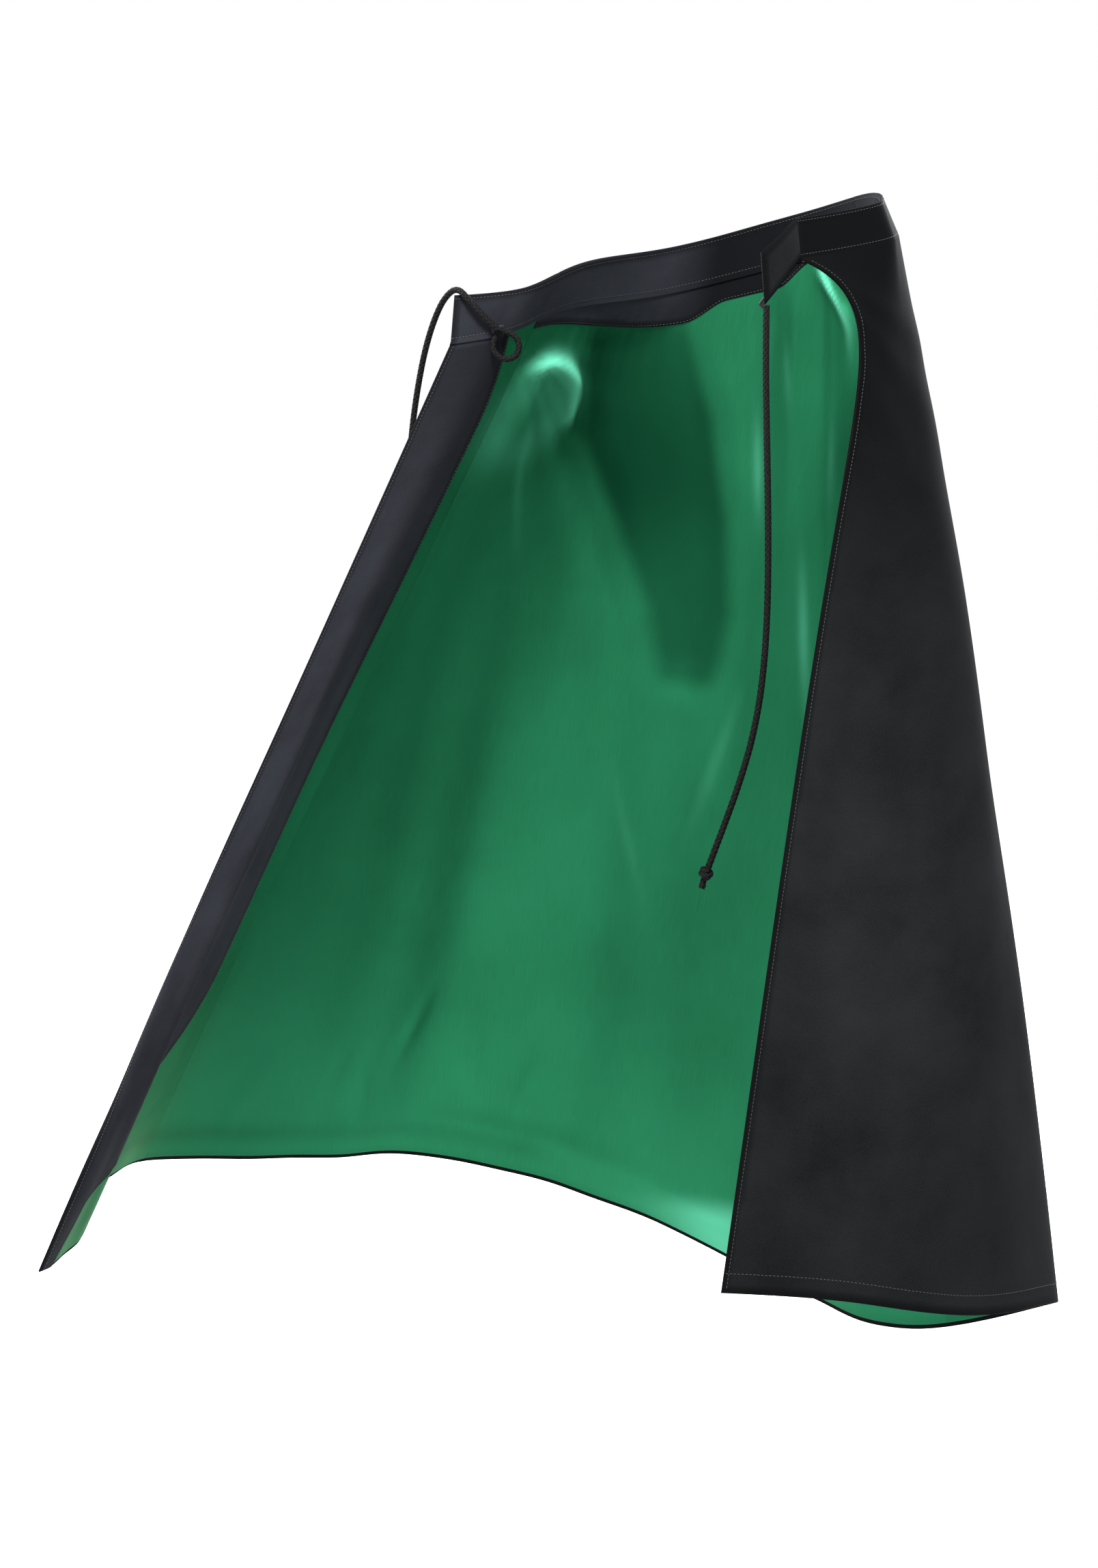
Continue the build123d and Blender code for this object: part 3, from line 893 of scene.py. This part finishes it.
def make_band():
    """The neck band's two leaves meet in a rounded top edge, over the stiff interfacing."""
    top = {"t": BAND_RADIUS}
    lap = -3 * MM
    leaves = {
        "band_outer": (BAND_OUTER, False, "black_shell", BAND_HEIGHT, 0.0, top),
        "band_interfacing": (BAND_MIDDLE, True, "interfacing", BAND_HEIGHT - 4 * MM, lap, {}),
        "band_inner": (BAND_INNER, True, "black_facing", BAND_HEIGHT, lap, top),
    }
    for side, (left, right, across, _, seams, *_) in GORES.items():
        for leaf, (layer, faces_wearer, slot, height, low, turned) in leaves.items():
            if side == "left_front" and turned:
                turned = {**turned, "l": BAND_RADIUS}
            cut = grid(left, right, above_seam(height), above_seam(low), across, BAND_DOWN)
            sheet(f"{side}_{leaf}_cloth", f"{side}_{leaf}", side, slot, layer, faces_wearer, cut,
                  turned, seams)


def make_tab():
    """The tab that carries the band's right end over the chest, as one closed pocket."""
    s = steps(40)[None, :] * np.ones((26, 1))
    t = np.linspace(0, 1, 26)[:, None] * np.ones_like(s)
    plain, normal = tab(s, t), outward(tab, s, t)
    near, uv = edge_distances(plain)
    close = np.minimum(np.minimum(near["t"], near["b"]), near["r"])
    roll = rolled(close, BAND_RADIUS)
    bow = 3 * MM * np.sin(np.pi * s) * (1 - 0.4 * t)
    depths = (roll, np.full_like(roll, BAND_STACK / 2), BAND_STACK - roll)
    # Painted shade towards the tab's edges.
    shade = close / EDGE_SHADE
    layers = [plain + vectors(bow - d, normal) for d in depths]
    piece = closed_sheet("right_band_tab_cloth", layers, uv,
                         {"edge": np.exp(-shade**2) * (shade < 1)}, MATERIALS["black_shell"])
    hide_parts("right_band_tab")
    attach(piece, "right_front")


# ---- Stitches ----
STITCH_PITCH = 4.4 * MM
STITCH_LENGTH = 3.3 * MM
STITCH_RADIUS = 0.42 * MM
# Rings of one stitch: place along it, thickness, and height over the cloth.
STITCH_RINGS = [(-1.0, 0.35, -0.5), (-0.62, 0.9, 0.2), (0.0, 1.0, 0.45), (0.62, 0.9, 0.2),
                (1.0, 0.35, -0.5)]
STITCH_SIDES = 5
# How far rows of stitches are from an edge
BAND_ROWS = (5 * MM, 54.5 * MM)
HEM_ROW = 22 * MM
FRONT_ROW = 6 * MM
FACING_ROW = 2.5 * MM


def even_marks(points, pitch):
    """Fractional indices of even distances along a line of points."""
    gaps = np.linalg.norm(np.diff(points, axis=0), axis=1)
    run = np.concatenate([[0], np.cumsum(gaps)])
    count = max(int(run[-1] / pitch), 1)
    marks = (np.arange(count) + 0.5) * run[-1] / count
    return np.interp(marks, run, np.arange(len(points)))


def pick(values, marks):
    """Values of a line of points at fractional indices."""
    low = np.minimum(np.floor(marks).astype(int), len(values) - 2)
    share = (marks - low)[:, None]
    return values[low] * (1 - share) + values[low + 1] * share


def stitches(points, normals):
    """Vertices and faces of a row of stitches along a line on the cloth."""
    marks = even_marks(points, STITCH_PITCH)
    centre, normal = pick(points, marks), pick(normals, marks)
    ahead = pick(points, np.minimum(marks + 0.5, len(points) - 1))
    forwards = unit(ahead - pick(points, np.maximum(marks - 0.5, 0)))
    normal = unit(normal - forwards * np.sum(normal * forwards, axis=1, keepdims=True))
    side = np.cross(normal, forwards)
    rings = []
    for place, thick, lift in STITCH_RINGS:
        middle = centre + forwards * place * STITCH_LENGTH / 2 + normal * STITCH_RADIUS * lift
        for angle in 2 * np.pi * np.arange(STITCH_SIDES) / STITCH_SIDES:
            rings.append(middle + STITCH_RADIUS * thick * (np.cos(angle) * side
                                                           + 0.75 * np.sin(angle) * normal))
    template = ring_faces(len(STITCH_RINGS), STITCH_SIDES)
    faces = [tuple(i + start for i in face)
             for start in range(0, len(centre) * len(rings), len(rings)) for face in template]
    return np.stack(rings, axis=1).reshape(-1, 3), faces


def joined(name, parts, material):
    """One object from several (vertices, faces)."""
    vertices = np.concatenate([v for v, _ in parts])
    faces, start = [], 0
    for v, f in parts:
        faces += [tuple(i + start for i in face) for face in f]
        start += len(v)
    return mesh_object(name, vertices, faces, vertices[:, [0, 2]], MATERIALS[material])


def stitch_row(u, v, depth, faces_wearer):
    """A row of stitches on the cape along a line of u and v, on a face at this depth."""
    plain, normal = cape(u, v), outward(cape, u, v)
    height = folds(u, v) - depth
    if faces_wearer:
        return stitches(plain + vectors(height - inside_height(u, v, plain), normal), -normal)
    return stitches(plain + vectors(height + shell_fold(u, v, plain), normal), normal)


def inset(u_edge, v, distance):
    """A line beside an edge of the cloth, this far to its right."""
    d = 0.002
    rate = np.linalg.norm(cape(u_edge + d, v) - cape(u_edge - d, v), axis=-1) / (2 * d)
    return u_edge + distance / rate


def make_stitches():
    """Topstitching on both faces: band, front edges, hem, and the facings' inner edges."""
    v = np.linspace(0.004, 0.996, 700)
    facing = sum(FACING)
    # A front's edge, the inner edge of its facing, and the way from the one to the other
    fronts = {"left_front": (np.zeros_like(v), left_facing_edge(v), 1),
              "right_front": (np.ones_like(v), right_facing_edge(v), -1)}
    ends = {"left_front": (0.002, SWING_LEFT_U), "back": (SWING_LEFT_U, SWING_RIGHT_U),
            "right_front": (SWING_RIGHT_U, 0.999)}
    for side, (low, high) in ends.items():
        u = np.linspace(low, high, 400)
        rows = []
        for height in BAND_ROWS:
            rows.append(stitch_row(u, above_seam(height)(u), 0.0, False))
            rows.append(stitch_row(u, above_seam(height)(u), BAND_STACK, True))
        rows.append(stitch_row(u, above_hem(HEM_ROW)(u), 0.0, False))
        if side == "back":
            edge = neck_facing_edge(u) - FACING_ROW / ruling(u)
            rows.append(stitch_row(u, edge, facing, True))
        else:
            edge, inner, way = fronts[side]
            front = inset(edge, v, way * FRONT_ROW)
            rows.append(stitch_row(front, v, 0.0, False))
            rows.append(stitch_row(front, v, facing, True))
            rows.append(stitch_row(inset(inner, v, -way * FACING_ROW), v, facing, True))
        piece = joined(f"{side}_topstitching", rows, "thread_black")
        follow(piece, side)


# ---- Cords ----
TIE_DIAMETER = 8 * MM
LOOP_RADIUS = 16 * MM
LOOP_SWELL = 1.09           # the route's points lie outside the line that they shape
LOOP_CENTRE = MM * np.array([-196, -43, -118])
LOOP_FACES = np.array([0.25, -0.95, 0.15])
LOOP_ANCHOR = (0.115, -0.006)
LEFT_TIE = MM * np.array([
    (-205, -50, -98), (-222, -56, -82), (-240, -54, -62), (-259, -40, -46), (-279, -27, -60),
    (-294, -20, -88), (-306, -16, -123), (-315, -14, -163), (-322, -15, -208),
    (-327, -20, -268), (-329, -31, -331), (-340, -40, -390), (-360, -46, -449),
    (-386, -51, -509), (-415, -59, -566), (-442, -66, -613),
])
RIGHT_TIE = MM * np.array([
    (143, -161, -73), (143, -163, -133), (145, -166, -203), (148, -170, -283),
    (150, -174, -363), (150, -178, -441), (146, -182, -512), (136, -186, -577),
    (119, -190, -638), (99, -193, -695), (82, -195, -742),
])


def curve_points(name, route):
    """Points on the smooth line of a route, read from its NURBS spline."""
    data = bpy.data.curves.new(name, "CURVE")
    data.dimensions = "3D"
    data.resolution_u = 40
    spline = data.splines.new("NURBS")
    spline.points.add(len(route) - 1)
    for point, place in zip(spline.points, route):
        point.co = (*place, 1)
    spline.order_u = 3
    spline.use_endpoint_u = True
    curve = bpy.data.objects.new(name, data)
    bpy.context.scene.collection.objects.link(curve)
    bpy.context.view_layer.update()
    line = bpy.data.meshes.new_from_object(curve)
    points = np.array([v.co for v in line.vertices])
    bpy.data.objects.remove(curve)
    bpy.data.curves.remove(data)
    bpy.data.meshes.remove(line)
    return points


def even_points(points, pitch):
    return np.concatenate([points[:1], pick(points, even_marks(points, pitch)), points[-1:]])


def carried_frames(points):
    """Two side vectors at each point, carried along a line without twisting."""
    tangents = unit(np.gradient(points, axis=0))
    side = unit(np.cross(tangents[0], [0.0, 1.0, 0.001]))
    sides = []
    for tangent in tangents:
        side = unit(side - tangent * (side @ tangent))
        sides.append(side)
    return np.array(sides), np.cross(tangents, sides)


def tube(points, radii, frames=None, sides=6, squash=1.0):
    """Vertices and faces of a closed tube along points, with radii at each."""
    first, second = frames or carried_frames(points)
    angles = 2 * np.pi * np.arange(sides) / sides
    ring = (np.cos(angles)[None, :, None] * first[:, None, :]
            + squash * np.sin(angles)[None, :, None] * second[:, None, :])
    vertices = points[:, None, :] + ring * np.broadcast_to(radii, len(points))[:, None, None]
    return vertices.reshape(-1, 3), ring_faces(len(points), sides)


BRAID_STRANDS = 8
BRAID_PITCH = 3.1        # lengths of a strand's turn, in cord diameters


def braid(points, diameter, taper=None):
    """Strands of a round braid along a line of points, over a dark core."""
    points = even_points(points, 0.9 * MM)
    first, second = carried_frames(points)
    run = np.concatenate([[0], np.cumsum(np.linalg.norm(np.diff(points, axis=0), axis=1))])
    width = np.ones_like(run) if taper is None else taper(run / run[-1])
    radius = diameter / 2
    strand = radius * 0.30
    parts = [tube(points, radius * 0.78 * width, sides=10)]
    for k in range(BRAID_STRANDS):
        way = 1 if k % 2 == 0 else -1
        start = 2 * np.pi * (k // 2) / (BRAID_STRANDS / 2)
        angle = start + way * 2 * np.pi * run / (BRAID_PITCH * diameter)
        weave = way * np.cos(BRAID_STRANDS / 2 * angle)
        reach = (radius - strand + strand * 0.22 * weave)[:, None] * width[:, None]
        outwards = np.cos(angle)[:, None] * first + np.sin(angle)[:, None] * second
        line = points + reach * outwards
        forwards = unit(np.gradient(line, axis=0))
        sideways = unit(np.cross(forwards, outwards))
        frames = sideways, np.cross(sideways, forwards)
        parts.append(tube(line, strand * 1.45 * width, frames, squash=0.62))
    return parts


def braided_uvs(piece, points):
    """Cloth coordinates that run along a cord: round it, then down it."""
    pitch = 4 * MM
    co = np.empty(len(piece.data.vertices) * 3, np.float32)
    piece.data.vertices.foreach_get("co", co)
    co = co.reshape(-1, 3)
    marks = even_points(points, pitch)
    nearest = np.argmin(np.linalg.norm(co[:, None, :] - marks[None, :, :], axis=2), axis=1)
    set_uvs(piece.data, np.stack([co[:, 0] + co[:, 1], nearest * pitch], axis=1))


def make_tie(name, route, body):
    points = curve_points(name + "_route", route)
    cord = joined(name + "_cord", braid(points, TIE_DIAMETER), "black_cord")
    braided_uvs(cord, points)
    knot = make_knot(name, points)
    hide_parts(name)
    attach(cord, body)
    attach(knot, body)


def make_knot(name, points):
    """A stopper knot: two turns drawn tight round the cord, and its cut end below."""
    end = points[-1]
    down = unit(end - points[-12])
    side = unit(np.cross(down, [0.0, 1.0, 0.0]))
    other = np.cross(down, side)
    t = np.linspace(0, 1, 90)
    turns = 2 * np.pi * 2.25 * t
    reach = 5.6 * MM * np.clip(6 * t, 0, 1) * np.clip(6 * (1 - t), 0, 1)
    drop = -5.5 * MM + 11 * MM * t + 1.6 * MM * np.sin(turns)
    wrap = (end + vectors(reach * np.cos(turns), side) + vectors(reach * np.sin(turns), other)
            + vectors(drop, down))
    t = np.linspace(0, 1, 12)
    tail = end + vectors(4 * MM + 13 * MM * t, down) + vectors(1.5 * MM * t**2, side)
    parts = braid(wrap, 6.4 * MM)
    parts += braid(tail, 7.4 * MM, taper=lambda at: 1 + 0.16 * at**3)
    for k, angle in enumerate(np.linspace(0, 2 * np.pi, 15)[:-1]):
        away = side * math.cos(angle) + other * math.sin(angle)
        start = tail[-1] + away * 2.4 * MM
        spread = away * (1.2 + 0.5 * math.sin(5 * k)) * MM
        fray = np.array([start - down * MM, start + spread * 0.5 + down * 1.4 * MM,
                         start + spread + down * (2.4 + 0.5 * math.cos(3 * k)) * MM])
        parts.append(tube(fray, np.array([0.5, 0.4, 0.15]) * MM, sides=5))
    knot = joined(name + "_stopper_knot", parts, "black_cord")
    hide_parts(name + "_knot")
    return knot


def stack_frame(surface, a, b):
    """A point of the outer face, and unit vectors across, down and out of the cloth."""
    a, b = np.array(float(a)), np.array(float(b))
    d = 0.002
    across = unit(surface(a + d, b) - surface(a - d, b))
    normal = outward(surface, a, b)
    across = unit(across - normal * (across @ normal))
    return surface(a, b), across, -np.cross(across, normal), normal


def make_loop():
    """The cord loop at the left shoulder, bent round from a shank that is tacked down."""
    anchor, _, _, out = stack_frame(cape, *LOOP_ANCHOR)
    root = anchor - out * 9 * MM
    face = unit(LOOP_FACES)
    towards = root - LOOP_CENTRE
    towards = unit(towards - face * (towards @ face))
    beside = np.cross(face, towards)
    route = [root + beside * 2.5 * MM]
    for angle in np.radians([18, 60, 105, 150, 180, 210, 255, 300, 342]):
        around = towards * math.cos(angle) + beside * math.sin(angle)
        route.append(LOOP_CENTRE + around * LOOP_RADIUS * LOOP_SWELL)
    route.append(root - beside * 2.5 * MM)
    points = curve_points("loop_route", route)
    loop = joined("left_tie_loop_cord", braid(points, TIE_DIAMETER * 0.94), "black_cord")
    braided_uvs(loop, points)
    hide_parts("left_tie_loop")
    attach(loop, "left_front")


TACK_LENGTH = 16 * MM
TACK_WIDTH = 8 * MM
TACK_BARS = 24


def make_tack(name, node, frame_there, body):
    """A bar tack: close bars of thread over two long ones."""
    place, across, down, out = frame_there
    place, out = place - out * (BAND_STACK + 1 * MM), -out
    parts = []
    for k in range(TACK_BARS):
        x = (k / (TACK_BARS - 1) - 0.5) * (TACK_LENGTH - 1 * MM)
        slant = 0.35 * MM * math.sin(7 * k)
        bar = np.array([place + across * (x + slant * e) + down * e * TACK_WIDTH / 2
                        + out * (0.9 * (1 - e * e) - 0.3) * MM for e in (-1, -0.55, 0, 0.55, 1)])
        parts.append(tube(bar, np.array([0.30, 0.42, 0.45, 0.42, 0.30]) * MM))
    for row in (-0.8, 0.8):
        line = np.array([place + across * x * TACK_LENGTH / 2 + down * row * TACK_WIDTH / 2
                         + out * 0.75 * MM for x in np.linspace(-1, 1, 9)])
        parts.append(tube(line, 0.5 * MM))
    piece = joined(name, parts, "thread_black")
    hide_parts(node)
    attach(piece, body)


def make_tacks():
    make_tack("left_tie_bar_tack", "left_tie_tack", stack_frame(cape, *LOOP_ANCHOR), "left_front")
    make_tack("right_tie_bar_tack", "right_tie_tack", stack_frame(tab, 0.96, 0.97), "right_front")


def make_floor():
    bpy.ops.mesh.primitive_grid_add(x_subdivisions=2, y_subdivisions=2, size=30,
                                    location=(0, 0, FLOOR_Z))
    floor = bpy.context.object
    floor.name = "floor"
    floor.data.materials.append(floor_material())


# ---- Make it ----
bpy.context.scene.view_settings.view_transform = "Standard"
make_camera()
make_tie("left_tie", LEFT_TIE, "left_front")
make_tie("right_tie", RIGHT_TIE, "right_front")
make_loop()
make_tacks()
make_gores()
make_linings()
make_facings()
make_band()
make_tab()
make_stitches()
make_lights()

make_floor()
